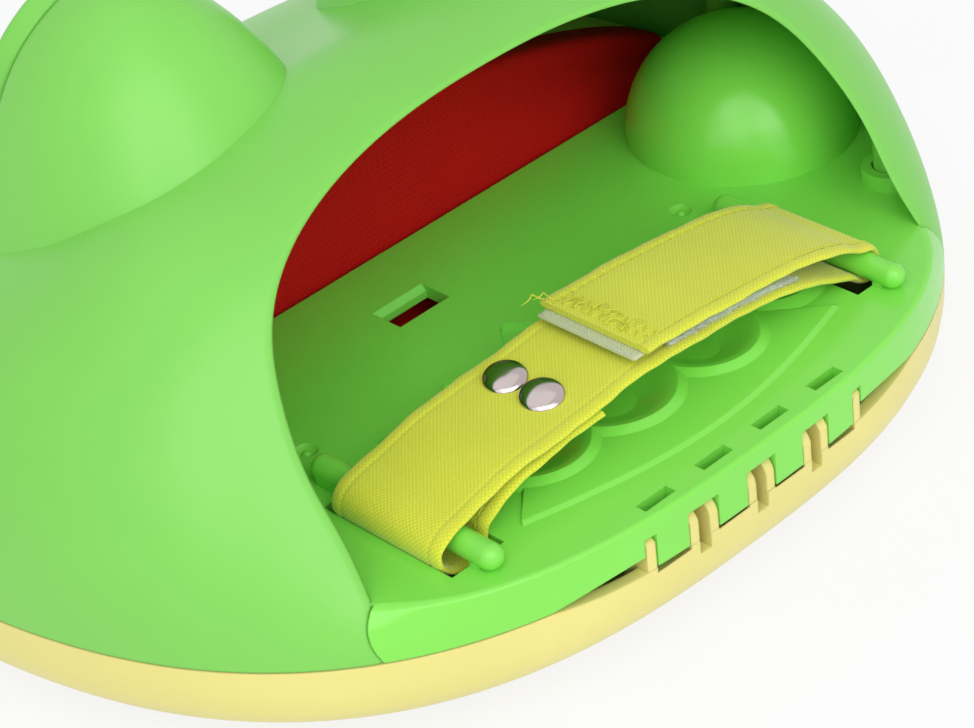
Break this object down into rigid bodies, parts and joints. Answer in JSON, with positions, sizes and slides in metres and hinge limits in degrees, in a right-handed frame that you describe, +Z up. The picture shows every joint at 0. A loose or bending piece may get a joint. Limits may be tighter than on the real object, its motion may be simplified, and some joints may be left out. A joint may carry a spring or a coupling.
{
  "type": "ball launcher game",
  "caption": "Hand-worn frog-head toss-and-catch launcher: green head shell over a palm deck with a hook-and-loop hand strap, hinged yellow lower jaw, stretch fabric in the mouth.",
  "frame": {"origin": "bottom centre of the bounding box: on the resting surface under the flat jaw foot, midway along the head and on its plane of symmetry", "axes": "+Z up, -Y towards the mouth, +Y towards the hinge and the hand opening, +X across the head to its left"},
  "size_m": [0.223, 0.181, 0.111],
  "materials": {
    "shell_green": "satin moulded",
    "deck_green": "semi-gloss moulded",
    "jaw_yellow": "satin moulded",
    "red_fabric": "fine ribbed stretch twill",
    "eye_white": "gloss moulded",
    "pupil_black": "gloss",
    "strap_lime": "plain woven webbing",
    "loop_grey": "fuzzy loop pile",
    "hook_white": "moulded hook strip",
    "rivet_chrome": "polished",
    "screw_steel": "plain"
  },
  "bodies": {
    "head": {"upper_shell": "shell_green", "palm_deck": "deck_green", "palate": "jaw_yellow", "upper_clamp": "jaw_yellow", "mouth_fabric": "red_fabric", "eye_bezel_left": "shell_green", "eyeball_left": "eye_white", "pupil_left": "pupil_black", "eye_bezel_right": "shell_green", "eyeball_right": "eye_white", "pupil_right": "pupil_black", "strap_base": "strap_lime", "loop_pile": "loop_grey", "strap_rivet_1": "rivet_chrome", "rivet_back_1": "rivet_chrome", "strap_rivet_2": "rivet_chrome", "rivet_back_2": "rivet_chrome", "deck_screw_1": "screw_steel", "deck_screw_2": "screw_steel", "deck_screw_3": "screw_steel", "deck_screw_4": "screw_steel"},
    "jaw": {"lower_jaw": "jaw_yellow", "lower_clamp": "jaw_yellow", "clamp_screw_1": "screw_steel", "clamp_screw_2": "screw_steel", "clamp_screw_3": "screw_steel", "clamp_screw_4": "screw_steel"},
    "flap": {"strap_flap": "strap_lime", "hook_tape": "hook_white"}
  },
  "joints": [
    {"name": "jaw_open", "type": "hinge", "parent": "head", "child": "jaw", "pos_m": [0, 0.0867, 0.0251], "axis": [1, 0, 0], "range_deg": [0, 50], "deforming": ["mouth_fabric"]},
    {"name": "flap_peel", "type": "hinge", "parent": "head", "child": "flap", "pos_m": [-0.0531, 0.058, 0.0353], "axis": [0, -1, 0], "range_deg": [0, 60]}
  ]
}
